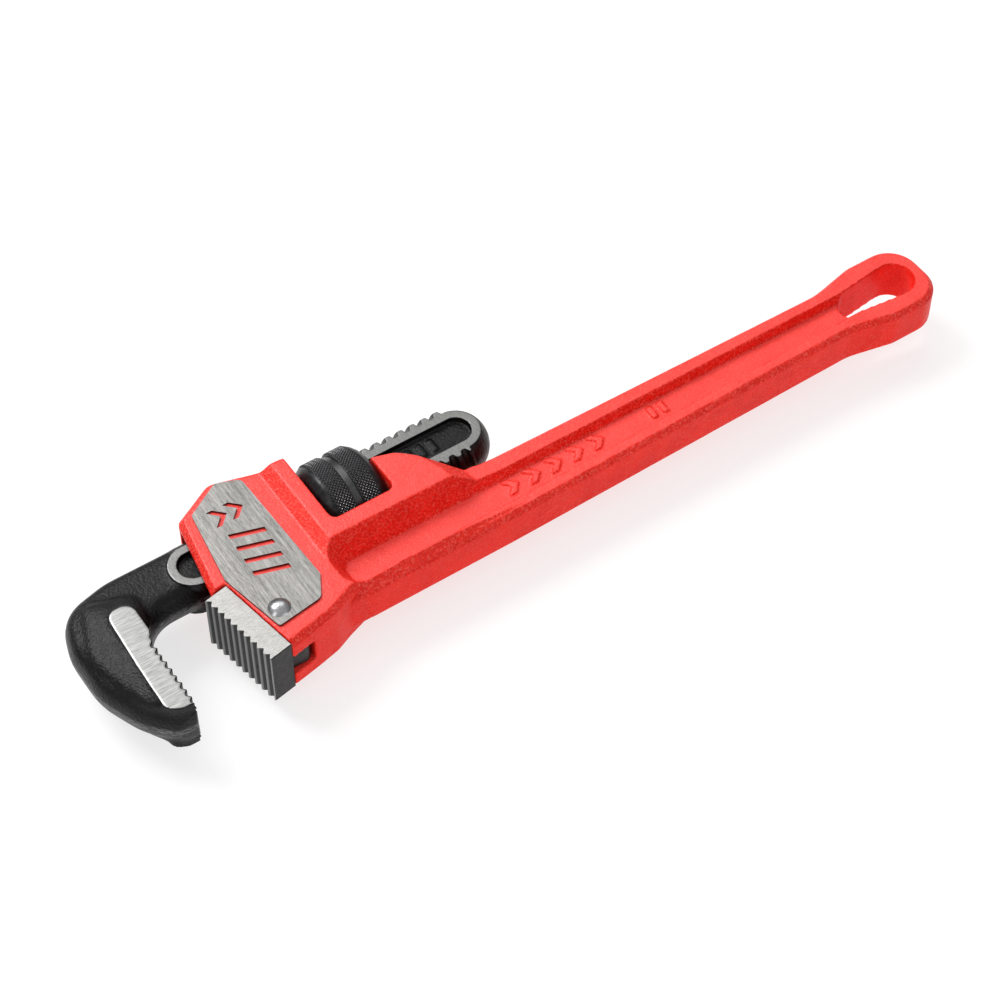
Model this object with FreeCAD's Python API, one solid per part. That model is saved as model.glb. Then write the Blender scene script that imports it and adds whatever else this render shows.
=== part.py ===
import FreeCAD, Part
import math
import os

# Adjustable pipe wrench, nominal 14 in / 350 mm, lying on its side.
# Working frame while modelling: +X along the handle towards its tail, +Y towards the
# adjusting nut, z = 0 on the mid-plane that the wrench is symmetric about, y = 0 on the
# handle's centre line and x = 0 at the front of the housing. All pieces are moved at the
# end, so that the origin is under the middle of the whole wrench, on the surface it lies on.
# All sizes are in millimetres; "half" values are measured from the mid-plane or an axis.

Vec = FreeCAD.Vector

# ---- driving dimensions ------------------------------------------------------------------

# Screw on the hook jaw's shank
THREAD_PITCH = 4.7
THREAD_MAJOR_R = 12.7
THREAD_MINOR_R = 11.3
THREAD_CREST = 1.7          # width of a tooth at its tip
THREAD_ROOT = 1.5           # width of the valley between two teeth
THREAD_START = 11.9         # first tooth, inside the housing
SHANK_AXIS_Y = 28.3
SHANK_START = 7.0
SHANK_HALF = 7.7            # half thickness between the two machined sides
SHANK_END_CENTRE = 100.9    # centre of the rounded shank end and of the pocket's end
POCKET_START = 1.2          # centre of the pocket's round end next to the hook
POCKET_HALF = 5.3
POCKET_DEPTH = 2.2
RIM_WIDTH = 3.2             # machined rim round the pocket

# Hook
NECK_HALF = 7.0             # half thickness of the forged neck
NECK_BELOW = 9.5            # shank axis to the neck's edge on the mouth side
NECK_ABOVE = 12.2           # shank axis to its other edge
HOOK_HALF = 10.5            # half thickness at the ground pad beside the teeth
HOOK_ROUNDING = 3.6         # how far the outer edges round off towards top and bottom
THROAT_ROUNDING = 5.0       # the same on the throat side
TIP_ROUNDING = 1.3
HOOK_TOOTH_X = -24.9        # tip line of the hook's teeth
HOOK_TIP_Y = -21.1
HOOK_BACK_X = -47.6         # outermost point of the hook's back
THROAT_R = 13.0
THROAT_X = -12.0
PAD_WIDTH = 8.3
PAD_TOP_Y = 24.7

# Teeth of both jaws
TOOTH_PITCH = 3.1
TOOTH_DEPTH = 1.5

# Heel jaw
HEEL_TILT = 10.0            # degrees, opens the mouth outwards
HEEL_LENGTH = 31.4
HEEL_DEPTH = 8.8            # tooth tips to seat
HEEL_HALF = 11.4            # half width across the teeth
HEEL_CORNER = (-4.2, 11.2)  # tooth-tip corner nearest the shank
HEEL_EDGE = 0.4             # height of the broken edges beside the teeth
HEEL_SEAT_START = 0.3       # the seat starts above the jaw's upper end
TANG_HALF = 4.2
TANG_LENGTH = 9.3
TANG_START = 12.0           # down the tooth line
TANG_END_STEP = 2.0         # from the tang to the jaw's outer end
TANG_ROOT = 1.0             # how far the tang reaches into the jaw
TANG_ROUNDING = 3.0
TANG_CLEARANCE = 0.4
SEAT_GAP = 0.05

# Pin through badge plates, housing and tang
PIN_X = 13.5
PIN_Y = -4.9
PIN_R = 2.4
PIN_HEAD_R = 3.7
PIN_HEAD_H = 1.7
PIN_CLEARANCE = 0.05

# Housing
HEAD_HALF = 12.0            # half thickness under the badge plates
HEAD_BEVEL = 2.2            # height of the bevel round the housing's box
RIDGE_HALF = 14.2           # half thickness beside the nut
HEAD_TOP_Y = 52.0
RIDGE_TOP_Y = 45.8
RAMP_RUN = 4.6
BORE_GAP = 0.6              # shank to bore, both sides of its thickness and its back
ROCK_GAP = 2.6              # room for the shank to rock towards the heel jaw

# Adjusting nut
NUT_R = 17.2
NUT_FRONT = 45.9
NUT_CONE = 3.2
NUT_CONE_R = 13.6
KNURL_WIDTH = 6.5
GROOVE_WIDTH = 2.6
GROOVE_DEPTH = 1.1
WINDOW_PLAY = 0.7           # gap at each end of the nut
WELL_GAP = 2.2              # nut to the round floor of its window
THREAD_CLEARANCE = 0.3

# Handle
HANDLE_HALF = 8.0
WALL_HALF = 6.2             # where the upright side ends and its bevel starts
HEAD_END_HALF_WIDTH = 12.4
TAIL_START = 238.0
TAIL_HALF_WIDTH = 10.3
TAIL_END = 277.0
TAIL_R = 14.0
EYE_R = 7.3
EYE_SMALL_R = 5.3
EYE_LENGTH = 30.2
EYE_RIM = 4.9               # metal between the eye and the tail's end
WEB_HALF = 4.5              # floor of the channel along both sides
HANDLE_ROOT = 96.0          # where the housing has tapered down to the handle

# Badge plates and plain raised marks
BADGE_THICKNESS = 0.8
BADGE_SLOT_PITCH = 5.6
BADGE_SLOT_LEAN = -0.32     # rise of each slot per millimetre of its length
MARK_HEIGHT = 0.6
MARK_START = 104.0          # first chevron on the channel's floor
MARK_PITCH = 8.5
MARK_X = 82.0               # first bar on the pocket's floor

# Springs
STRIP_THICKNESS = 0.8
STRIP_TURNED = 0.3          # how far its ends turn away from the shank
STRIP_HALF = 4.0
STRIP_START = 9.0
STRIP_END = 42.0
STRIP_GAP = 0.35
COIL_R = 3.4
COIL_WIRE = 1.0
COIL_TURNS = 5.0
COIL_X = 26.0
COIL_POCKET_GAP = 0.5
COIL_POCKET_FLOOR = 5.4
COIL_END_GAP = 0.1          # coil to strip
COIL_FLOOR_GAP = 0.05       # coil to the pocket's floor

os.makedirs("parts", exist_ok=True)

# ---- sizes worked out from the driving dimensions ------------------------------------------

NUT_LENGTH = 2 * NUT_CONE + 2 * KNURL_WIDTH + GROOVE_WIDTH
NUT_BACK = NUT_FRONT + NUT_LENGTH
WINDOW_FRONT = NUT_FRONT - WINDOW_PLAY
WINDOW_BACK = NUT_BACK + WINDOW_PLAY
WELL_R = NUT_R + WELL_GAP
BORE_HALF = SHANK_HALF + BORE_GAP
BORE_BACK_Y = SHANK_AXIS_Y + THREAD_MAJOR_R + BORE_GAP
BORE_FRONT_Y = SHANK_AXIS_Y - THREAD_MAJOR_R - ROCK_GAP
RIM_R = POCKET_HALF + RIM_WIDTH
HEEL_ANGLE = math.radians(HEEL_TILT)
ALONG = (math.sin(HEEL_ANGLE), -math.cos(HEEL_ANGLE))     # down the heel jaw's tooth line
INTO = (math.cos(HEEL_ANGLE), math.sin(HEEL_ANGLE))       # from the teeth to the seat


# ---- plane geometry helpers ----------------------------------------------------------------

def signed_area(points):
    pairs = zip(points, points[1:] + points[:1])
    return 0.5 * sum(a[0] * b[1] - b[0] * a[1] for a, b in pairs)


def inset(points, distance):
    """The polygon with each side moved inwards; distance is one number or one per side."""
    if signed_area(points) < 0:
        raise ValueError("outline must run anticlockwise")
    count = len(points)
    moves = [distance] * count if isinstance(distance, (int, float)) else distance
    lines = []
    for i in range(count):
        a, b = points[i], points[(i + 1) % count]
        length = math.hypot(b[0] - a[0], b[1] - a[1])
        ux, uy = (b[0] - a[0]) / length, (b[1] - a[1]) / length
        lines.append((a[0] - uy * moves[i], a[1] + ux * moves[i], ux, uy))
    result = []
    for i in range(count):
        px, py, ux, uy = lines[i - 1]
        qx, qy, vx, vy = lines[i]
        cross = ux * vy - uy * vx
        t = ((qx - px) * vy - (qy - py) * vx) / cross
        result.append((px + ux * t, py + uy * t))
    return result


def outline(points, radii, z):
    """Closed wire at height z, with each corner rounded by its radius (0 keeps it sharp)."""
    count = len(points)
    radii = [radii] * count if isinstance(radii, (int, float)) else radii
    ends = []
    for i, (point, radius) in enumerate(zip(points, radii)):
        before, after = points[i - 1], points[(i + 1) % count]
        in_x, in_y = before[0] - point[0], before[1] - point[1]
        out_x, out_y = after[0] - point[0], after[1] - point[1]
        in_len, out_len = math.hypot(in_x, in_y), math.hypot(out_x, out_y)
        in_x, in_y, out_x, out_y = in_x / in_len, in_y / in_len, out_x / out_len, out_y / out_len
        half = 0.5 * math.acos(max(-1.0, min(1.0, in_x * out_x + in_y * out_y)))
        if radius <= 0 or half > math.pi / 2 - 1e-4:
            corner = Vec(point[0], point[1], z)
            ends.append((corner, None, corner))
            continue
        cut = min(radius / math.tan(half), 0.49 * in_len, 0.49 * out_len)
        radius = cut * math.tan(half)
        mid_x, mid_y = in_x + out_x, in_y + out_y
        mid_len = math.hypot(mid_x, mid_y)
        reach = radius / math.sin(half) - radius
        ends.append((Vec(point[0] + in_x * cut, point[1] + in_y * cut, z),
                     Vec(point[0] + mid_x / mid_len * reach, point[1] + mid_y / mid_len * reach, z),
                     Vec(point[0] + out_x * cut, point[1] + out_y * cut, z)))
    edges = []
    for i, (start, middle, end) in enumerate(ends):
        if middle is not None:
            edges.append(Part.Arc(start, middle, end).toShape())
        following = ends[(i + 1) % count][0]
        if (following - end).Length > 1e-6:
            edges.append(Part.LineSegment(end, following).toShape())
    return Part.Wire(edges)


def prism(points, radii, low, high):
    return Part.Face(outline(points, radii, low)).extrude(Vec(0, 0, high - low))


def stack(sections):
    """Solid through closed wires, one above the other, with straight sides between them."""
    return Part.makeLoft(sections, True, True)


def grown(radii, change):
    return [max(r + change, 0.0) if r > 0 else 0.0 for r in radii]


def bevelled(points, radii, wall, half, bevel):
    """Prism about the mid-plane, upright to +-wall, then drawn in by bevel up to +-half."""
    top = inset(points, bevel)
    small = radii if isinstance(bevel, list) else grown(radii, -bevel)
    return stack([outline(top, small, -half), outline(points, radii, -wall),
                  outline(points, radii, wall), outline(top, small, half)])


def block(low, high):
    size = [b - a for a, b in zip(low, high)]
    return Part.makeBox(size[0], size[1], size[2], Vec(*low))


def along_x(radius, start, end, y):
    return Part.makeCylinder(radius, end - start, Vec(start, y, 0), Vec(1, 0, 0))


def both_sides(shape):
    """The shape and its mirror image in the mid-plane."""
    return [shape, shape.mirror(Vec(0, 0, 0), Vec(0, 0, 1))]


def one_solid(shape):
    """The largest solid of a cut or a fuse, with the faces that lie in one plane joined."""
    return max(shape.removeSplitter().Solids, key=lambda s: s.Volume)


def revolved(profile):
    """Solid turned about the shank's axis from (x, radius) points."""
    points = [Vec(x, SHANK_AXIS_Y + r, 0) for x, r in profile]
    face = Part.Face(Part.makePolygon(points + points[:1]))
    return face.revolve(Vec(0, SHANK_AXIS_Y, 0), Vec(1, 0, 0), 360)


# ---- teeth ---------------------------------------------------------------------------------

def tooth_row(corner, along, into, length, half):
    """Cutter for a row of V teeth: straight ridges across the jaw, tips on the corner line."""
    count = int(length / TOOTH_PITCH)
    spare = 0.5 * (length - count * TOOTH_PITCH)
    past = 2.0
    points = [(-past, -past), (-past, 0.0), (spare, 0.0)]
    for i in range(count):
        start = spare + i * TOOTH_PITCH
        points.append((start + 0.5 * TOOTH_PITCH, TOOTH_DEPTH))
        points.append((start + TOOTH_PITCH, 0.0))
    points += [(length + past, 0.0), (length + past, -past)]
    flat = [(corner[0] + along[0] * s + into[0] * t, corner[1] + along[1] * s + into[1] * t)
            for s, t in points]
    return prism(flat, 0, -half - 1, half + 1)


# ---- heel jaw ------------------------------------------------------------------------------

def heel_point(down, depth):
    """Plan position, measured down the tooth line and back from the tooth tips."""
    return (HEEL_CORNER[0] + ALONG[0] * down + INTO[0] * depth,
            HEEL_CORNER[1] + ALONG[1] * down + INTO[1] * depth)


def tang_outline(gap):
    """Plan outline of the tang, or of its slot when gap is more than 0."""
    top = heel_point(TANG_START, HEEL_DEPTH - TANG_ROOT)
    bottom = heel_point(HEEL_LENGTH - TANG_END_STEP, HEEL_DEPTH - TANG_ROOT)
    back = PIN_X + 0.5 * TANG_LENGTH + gap
    return [(bottom[0], bottom[1] - gap), (back, bottom[1] - gap),
            (back, top[1] + gap), (top[0], top[1] + gap)]


def make_heel_jaw():
    corners = [heel_point(HEEL_LENGTH, 0), heel_point(HEEL_LENGTH, HEEL_DEPTH - SEAT_GAP),
               heel_point(0, HEEL_DEPTH - SEAT_GAP), heel_point(0, 0)]
    body = bevelled(corners, [0.8, 0.3, 0.3, 0.3], HEEL_HALF - HEEL_EDGE, HEEL_HALF, 0.25)
    body = body.cut(tooth_row(HEEL_CORNER, ALONG, INTO, HEEL_LENGTH, HEEL_HALF))
    tang = prism(tang_outline(0.0), [0, TANG_ROUNDING, TANG_ROUNDING, 0],
                 -TANG_HALF, TANG_HALF)
    hole = Part.makeCylinder(PIN_R + PIN_CLEARANCE, 4 * HEEL_HALF,
                             Vec(PIN_X, PIN_Y, -2 * HEEL_HALF))
    return one_solid(body.fuse(tang).cut(hole))


# ---- pin and badge plates ------------------------------------------------------------------

def make_heel_jaw_pin():
    seat = HEAD_HALF + BADGE_THICKNESS
    # the dome is a slice of a ball whose rim is the head's radius
    ball = (PIN_HEAD_R ** 2 + PIN_HEAD_H ** 2) / (2 * PIN_HEAD_H)
    pin = Part.makeCylinder(PIN_R, 2 * seat, Vec(PIN_X, PIN_Y, -seat))
    for sign in (1, -1):
        centre = Vec(PIN_X, PIN_Y, sign * (seat + PIN_HEAD_H - ball))
        head = Part.makeSphere(ball, centre)
        keep = Part.makeCylinder(2 * PIN_HEAD_R, PIN_HEAD_H + 1, Vec(PIN_X, PIN_Y, sign * seat),
                                 Vec(0, 0, sign))
        pin = pin.fuse(head.common(keep))
    return one_solid(pin)


def badge_points():
    return [(10.0, -11.0), (26.4, -8.8), (31.0, -0.6), (29.6, 46.2),
            (21.5, 49.3), (8.9, 42.0), (4.8, 13.7)]


def slanted_bar(x, y, length, width, lean):
    """Plan outline of a slot that leans by lean per unit of length."""
    return [(x, y), (x + length, y + lean * length),
            (x + length, y + lean * length + width), (x, y + width)]


def chevron(x, y, size, width):
    return [(x, y), (x + size, y + size), (x, y + 2 * size), (x - width, y + 2 * size),
            (x + size - width, y + size), (x - width, y)]


def make_badge_plates():
    """Two stamped plates with a plain pattern of slanted slots cut through them."""
    low = HEAD_HALF
    high = HEAD_HALF + BADGE_THICKNESS
    plate = prism(badge_points(), [1.0, 3.0, 1.5, 2.5, 1.0, 1.5, 1.0], low, high)
    for i in range(4):
        slot = slanted_bar(13.4 + 0.35 * i, 10.0 + BADGE_SLOT_PITCH * i, 11.5, 2.0,
                           BADGE_SLOT_LEAN)
        plate = plate.cut(prism(slot, 0.3, low - 1, high + 1))
    for i in range(2):
        slot = chevron(15.2 + 6.0 * i, 33.0, 3.6, 2.3)
        plate = plate.cut(prism(slot, 0.2, low - 1, high + 1))
    hole = Part.makeCylinder(PIN_R + PIN_CLEARANCE, 4, Vec(PIN_X, PIN_Y, low - 1))
    upper, lower = both_sides(plate.cut(hole))
    return one_solid(upper), one_solid(lower)


# ---- handle and housing, one casting ---------------------------------------------------------

def make_handle_bar():
    """The tapering bar and its flared tail."""
    tail_front = TAIL_END - 2 * TAIL_R
    side = [(WINDOW_FRONT - 3, -HEAD_END_HALF_WIDTH), (HANDLE_ROOT, -HEAD_END_HALF_WIDTH),
            (TAIL_START, -TAIL_HALF_WIDTH), (tail_front + 6, -TAIL_R), (TAIL_END, -TAIL_R)]
    points = side + [(x, -y) for x, y in reversed(side)]
    swell, flare, round_end = 80.0, 24.0, TAIL_R - 0.4
    radii = [0, swell, flare, 9.0, round_end, round_end, 9.0, flare, swell, 0]
    return bevelled(points, radii, WALL_HALF, HANDLE_HALF, 1.5)


def make_housing_front():
    """The closed box that the shank slides through, with the seat for the heel jaw.

    Its lower side runs inwards behind the heel jaw, and ends inside the neck block.
    """
    seat_top = heel_point(-HEEL_SEAT_START, HEEL_DEPTH)
    seat_bottom = heel_point(HEEL_LENGTH + 0.4, HEEL_DEPTH)
    lip = heel_point(-HEEL_SEAT_START, 3.3)
    points = [seat_bottom, (20.0, -16.7), (28.0, -14.9), (34.0, -12.3), (WINDOW_FRONT + 1, -8.0),
              (WINDOW_FRONT + 1, RIDGE_TOP_Y), (36.0, 47.2), (19.8, HEAD_TOP_Y), (4.4, 43.6),
              lip, seat_top]
    radii = [0.6, 14, 10, 8, 0, 0, 10, 4.0, 2.5, 0.8, 0]
    bevels = [1.8, 1.8, 1.8, 1.8, 0.0, 1.4, 1.4, 1.8, 1.6, 0.3, 0.0]
    return bevelled(points, radii, HEAD_HALF - HEAD_BEVEL, HEAD_HALF, bevels)


def make_ridge():
    """Thicker metal beside the nut, running into the fork behind it."""
    ramp_top = WINDOW_FRONT - RAMP_RUN - 0.2
    slope = RAMP_RUN / (RIDGE_HALF - HEAD_HALF)
    base_x = ramp_top - slope * (RIDGE_HALF - HANDLE_HALF)
    fork = WINDOW_BACK
    top = [(ramp_top, 4.0), (fork + 18.5, 4.0), (fork + 17.0, 12.5), (fork + 13.6, 21.3),
           (fork + 8.0, 26.8), (fork - 0.4, 29.6), (WINDOW_FRONT, RIDGE_TOP_Y - 0.4),
           (ramp_top, RIDGE_TOP_Y)]
    base = [(base_x, 4.0), (fork + 27.0, 4.0), (fork + 25.5, 11.6), (fork + 18.4, 22.4),
            (fork + 10.4, 28.2), (fork - 0.4, 31.0), (WINDOW_FRONT, RIDGE_TOP_Y + 0.4),
            (base_x, RIDGE_TOP_Y)]
    radii = [0, 0, 8, 9, 9, 0, 0, 0]
    return stack([outline(top, radii, -RIDGE_HALF), outline(base, radii, -HANDLE_HALF),
                  outline(base, radii, HANDLE_HALF), outline(top, radii, RIDGE_HALF)])


def make_neck_block():
    """Solid metal under the window, thinning from the housing to the handle."""
    def section(x, low, high, wall, half, bevel):
        points = [Vec(x, low, -wall), Vec(x, low, wall), Vec(x, low + bevel, half),
                  Vec(x, high, half), Vec(x, high, -half), Vec(x, low + bevel, -half)]
        return Part.makePolygon(points + points[:1])
    start = section(30.0, -12.2, 14.5, WALL_HALF, HEAD_HALF, 4.4)
    middle = section(WINDOW_BACK, -12.3, 13.6, WALL_HALF, HANDLE_HALF + 2.2, 3.4)
    end = section(HANDLE_ROOT + 14, -HEAD_END_HALF_WIDTH + 0.7, HEAD_END_HALF_WIDTH - 1.8,
                  WALL_HALF, HANDLE_HALF - 0.3, 1.6)
    return Part.makeLoft([start, middle, end], True, True)


def make_channel():
    """Tapered recess along one side of the handle, deepest and widest at the housing."""
    eye_x = TAIL_END - EYE_RIM - EYE_LENGTH + EYE_SMALL_R
    top_z = RIDGE_HALF + 0.2
    floor = [(41.0, -6.2), (eye_x, -4.3), (eye_x, 4.3), (41.0, 3.9)]
    mouth = [(34.8, -11.8), (eye_x, -6.8), (eye_x, 6.8), (34.8, 8.8)]
    return stack([outline(floor, [4, 0, 0, 4], WEB_HALF), outline(mouth, [7, 0, 0, 7], top_z)])


def make_eye():
    """Teardrop hole through the tail, for hanging the wrench."""
    big = TAIL_END - EYE_RIM - EYE_R
    small = TAIL_END - EYE_RIM - EYE_LENGTH + EYE_SMALL_R
    lean = math.asin((EYE_R - EYE_SMALL_R) / (big - small))
    def on_circle(centre, radius, angle, z):
        return Vec(centre + radius * math.cos(angle), radius * math.sin(angle), z)
    angle = math.pi / 2 + lean
    low = -HANDLE_HALF - 1
    edges = [Part.Arc(on_circle(big, EYE_R, -angle, low), on_circle(big, EYE_R, 0, low),
                      on_circle(big, EYE_R, angle, low)).toShape(),
             Part.LineSegment(on_circle(big, EYE_R, angle, low),
                              on_circle(small, EYE_SMALL_R, angle, low)).toShape(),
             Part.Arc(on_circle(small, EYE_SMALL_R, angle, low),
                      on_circle(small, EYE_SMALL_R, math.pi, low),
                      on_circle(small, EYE_SMALL_R, -angle, low)).toShape(),
             Part.LineSegment(on_circle(small, EYE_SMALL_R, -angle, low),
                              on_circle(big, EYE_R, -angle, low)).toShape()]
    return Part.Face(Part.Wire(edges)).extrude(Vec(0, 0, 2 * HANDLE_HALF + 2))


def make_relief():
    """Plain raised marks on the floor of the channel: chevrons and a pair of bars."""
    marks = []
    for i in range(5):
        shape = chevron(MARK_START + MARK_PITCH * i, -3.0, 3.0, 2.4)
        marks.append(prism(shape, 0, WEB_HALF - 0.5, WEB_HALF + MARK_HEIGHT))
    for i in range(2):
        shape = slanted_bar(MARK_START + 56.0 + 4.5 * i, -2.4, 1.8, 4.8, 0.0)
        marks.append(prism(shape, 0, WEB_HALF - 0.5, WEB_HALF + MARK_HEIGHT))
    return marks


def make_nut_window():
    """Round-floored gap for the nut, open to +Y."""
    well = along_x(WELL_R, WINDOW_FRONT, WINDOW_BACK, SHANK_AXIS_Y)
    ends = [e for e in well.Edges if isinstance(e.Curve, Part.Circle)]
    well = well.makeFillet(2.0, ends)
    mouth = block((WINDOW_FRONT, SHANK_AXIS_Y, -WELL_R), (WINDOW_BACK, HEAD_TOP_Y + 9, WELL_R))
    return well.fuse(mouth)


def make_shank_bore():
    bore = block((-9, BORE_FRONT_Y, -BORE_HALF), (WINDOW_FRONT + 1, BORE_BACK_Y, BORE_HALF))
    long_edges = [e for e in bore.Edges if abs(e.tangentAt(e.FirstParameter).x) > 0.9]
    return bore.makeFillet(2.5, long_edges)


def make_fork_slot():
    floor_y = SHANK_AXIS_Y - THREAD_MAJOR_R - BORE_GAP
    return block((WINDOW_BACK - 1, floor_y, -BORE_HALF),
                 (HANDLE_ROOT + 24, HEAD_TOP_Y, BORE_HALF))


def make_handle_housing():
    casting = make_handle_bar()
    for piece in (make_neck_block(), make_ridge(), make_housing_front()):
        casting = casting.fuse(piece)
    casting = casting.cut(both_sides(make_channel()))
    for mark in make_relief():
        casting = casting.fuse(both_sides(mark))
    tang_slot = prism(tang_outline(TANG_CLEARANCE), 0, -TANG_HALF - TANG_CLEARANCE,
                      TANG_HALF + TANG_CLEARANCE)
    open_side = tang_slot.copy()
    open_side.translate(Vec(0, -8, 0))
    pin_hole = Part.makeCylinder(PIN_R + PIN_CLEARANCE, 4 * HEAD_HALF,
                                 Vec(PIN_X, PIN_Y, -2 * HEAD_HALF))
    coil_pocket = Part.makeCylinder(COIL_R + COIL_WIRE / 2 + COIL_POCKET_GAP,
                                    BORE_FRONT_Y - COIL_POCKET_FLOOR + 1,
                                    Vec(COIL_X, COIL_POCKET_FLOOR, 0), Vec(0, 1, 0))
    casting = casting.cut([make_eye(), make_nut_window(), make_shank_bore(), make_fork_slot(),
                           tang_slot, open_side, pin_hole, coil_pocket])
    return one_solid(casting)


# ---- hook jaw --------------------------------------------------------------------------------

def thread_grooves():
    """Ring-shaped cutters for the valleys, one set on each edge of the shank.

    Only two short arcs of each turn are left on the flat shank, so each valley is a ring
    tilted by the helix angle; the rings on the far edge are half a pitch on and lean back.
    """
    lean = math.degrees(math.atan(THREAD_PITCH / (2 * math.pi * THREAD_MAJOR_R)))
    top = THREAD_PITCH - THREAD_CREST
    last = SHANK_END_CENTRE + 3.0
    cutters = []
    for side, offset in ((1, 0.0), (-1, 0.5 * THREAD_PITCH)):
        keep = block((-100, SHANK_AXIS_Y if side > 0 else SHANK_AXIS_Y - 40, -20),
                     (200, SHANK_AXIS_Y + 40 if side > 0 else SHANK_AXIS_Y, 20))
        count = math.ceil((last - THREAD_START - offset) / THREAD_PITCH)
        for i in range(count):
            x = THREAD_START + offset + i * THREAD_PITCH
            outer = THREAD_MAJOR_R + 0.5
            spread = (top - THREAD_ROOT) / 2 * 0.5 / (THREAD_MAJOR_R - THREAD_MINOR_R)
            ring = revolved([(x - THREAD_ROOT / 2, THREAD_MINOR_R),
                             (x + THREAD_ROOT / 2, THREAD_MINOR_R),
                             (x + top / 2 + spread, outer), (x - top / 2 - spread, outer)])
            core = revolved([(x - top, THREAD_MINOR_R), (x + top, THREAD_MINOR_R),
                             (x + top, 0), (x - top, 0)])
            ring = ring.cut(core)
            ring.rotate(Vec(x, SHANK_AXIS_Y, 0), Vec(0, 1, 0), side * lean)
            cutters.append(ring.common(keep))
    return cutters


def make_shank():
    """Round bar flattened on both sides, with a domed end, teeth on both edges and pockets."""
    bar = along_x(THREAD_MAJOR_R, SHANK_START, SHANK_END_CENTRE, SHANK_AXIS_Y)
    dome = Part.makeSphere(THREAD_MINOR_R + 0.15, Vec(SHANK_END_CENTRE, SHANK_AXIS_Y, 0))
    bar = bar.fuse(dome)
    sides = block((-20, SHANK_AXIS_Y - 30, -SHANK_HALF),
                  (SHANK_END_CENTRE + 30, SHANK_AXIS_Y + 30, SHANK_HALF))
    bar = bar.common(sides)
    return bar.cut(thread_grooves())


def pocket_outline(grow, z):
    """Slot-shaped outline round the two pocket centres."""
    radius = POCKET_HALF + grow
    y = SHANK_AXIS_Y
    left, right = POCKET_START, SHANK_END_CENTRE
    return Part.Wire([
        Part.LineSegment(Vec(left, y - radius, z), Vec(right, y - radius, z)).toShape(),
        Part.Arc(Vec(right, y - radius, z), Vec(right + radius, y, z),
                 Vec(right, y + radius, z)).toShape(),
        Part.LineSegment(Vec(right, y + radius, z), Vec(left, y + radius, z)).toShape(),
        Part.Arc(Vec(left, y + radius, z), Vec(left - radius, y, z),
                 Vec(left, y - radius, z)).toShape()])


def hook_outline():
    """Mid-plane outline of the hook and neck, anticlockwise, with its corner radii."""
    tip = HOOK_TIP_Y
    neck_low = SHANK_AXIS_Y - NECK_BELOW
    neck_high = SHANK_AXIS_Y + NECK_ABOVE
    inside = 12.0
    corners = [((HOOK_TOOTH_X - 7.6, tip), 5.0), ((HOOK_TOOTH_X - 1.2, tip), 0.4),
               ((HOOK_TOOTH_X, tip + 1.7), 0.4), ((HOOK_TOOTH_X, neck_low), THROAT_R),
               ((inside, neck_low), 0.0), ((inside, neck_high), 0.0), ((-26.0, neck_high), 20.0),
               ((-43.0, 36.5), 14.0), ((HOOK_BACK_X, 22.0), 22.0), ((HOOK_BACK_X, 4.0), 26.0),
               ((-41.2, -12.2), 26.0)]
    return [c[0] for c in corners], [c[1] for c in corners]


def make_hook_body():
    """Forging with rounded edges, widest at its parting line on the mid-plane."""
    points, radii = hook_outline()
    # the cut end inside the shank and the tooth line stay upright
    sides = ["tip", "upright", "upright", "throat", "upright"] + ["outer"] * 6
    levels = [(1.0, 1.0), (0.8, 0.45), (0.45, 0.17), (0.0, 0.0)]
    amount = {"outer": HOOK_ROUNDING, "throat": THROAT_ROUNDING, "tip": TIP_ROUNDING,
              "upright": 0.0}
    upper = []
    for height, share in levels:
        moved = inset(points, [amount[side] * share for side in sides])
        upper.append((moved, height * NECK_HALF))
    lower = [(moved, -z) for moved, z in upper[:-1]]
    return stack([outline(moved, radii, z) for moved, z in lower + upper[::-1]])


def make_pad(side):
    """Swelling of the hook up to the flat ground strip beside its teeth."""
    low = HOOK_TIP_Y
    x = HOOK_TOOTH_X
    foot = [(x - 13.7, low + 10.6), (x - 6.1, low + 1.7), (x + 1.2, low + 0.9),
            (x + 5.0, PAD_TOP_Y + 3.3), (x - 12.1, PAD_TOP_Y + 9.8), (x - 20.1, low + 35.1)]
    crown = [(x - PAD_WIDTH - 0.8, low + 3.5), (x - 4.7, low + 1.4), (x + 1.2, low + 1.2),
             (x + 1.4, PAD_TOP_Y), (x - PAD_WIDTH + 1.0, PAD_TOP_Y), (x - PAD_WIDTH, low + 24.0)]
    radii = [4.0, 3.0, 0.3, 4.0, 4.0, 20.0]
    levels = [(NECK_HALF - 0.3, 0.0), (NECK_HALF + 1.4, 0.12), (HOOK_HALF - 0.6, 0.93),
              (HOOK_HALF, 1.0)]
    sections = []
    for z, share in levels:
        ring = [(f[0] + (c[0] - f[0]) * share, f[1] + (c[1] - f[1]) * share)
                for f, c in zip(foot, crown)]
        sections.append(outline(ring, radii, side * z))
    points, corner_radii = hook_outline()
    edge = HOOK_ROUNDING * 0.55
    trimmed = inset(points, [TIP_ROUNDING / 2, 0.0, 0.0, 0.0, 0.0] + [edge] * 6)
    limit = prism(trimmed, corner_radii, -HOOK_HALF - 1, HOOK_HALF + 1)
    return stack(sections).common(limit)


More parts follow.
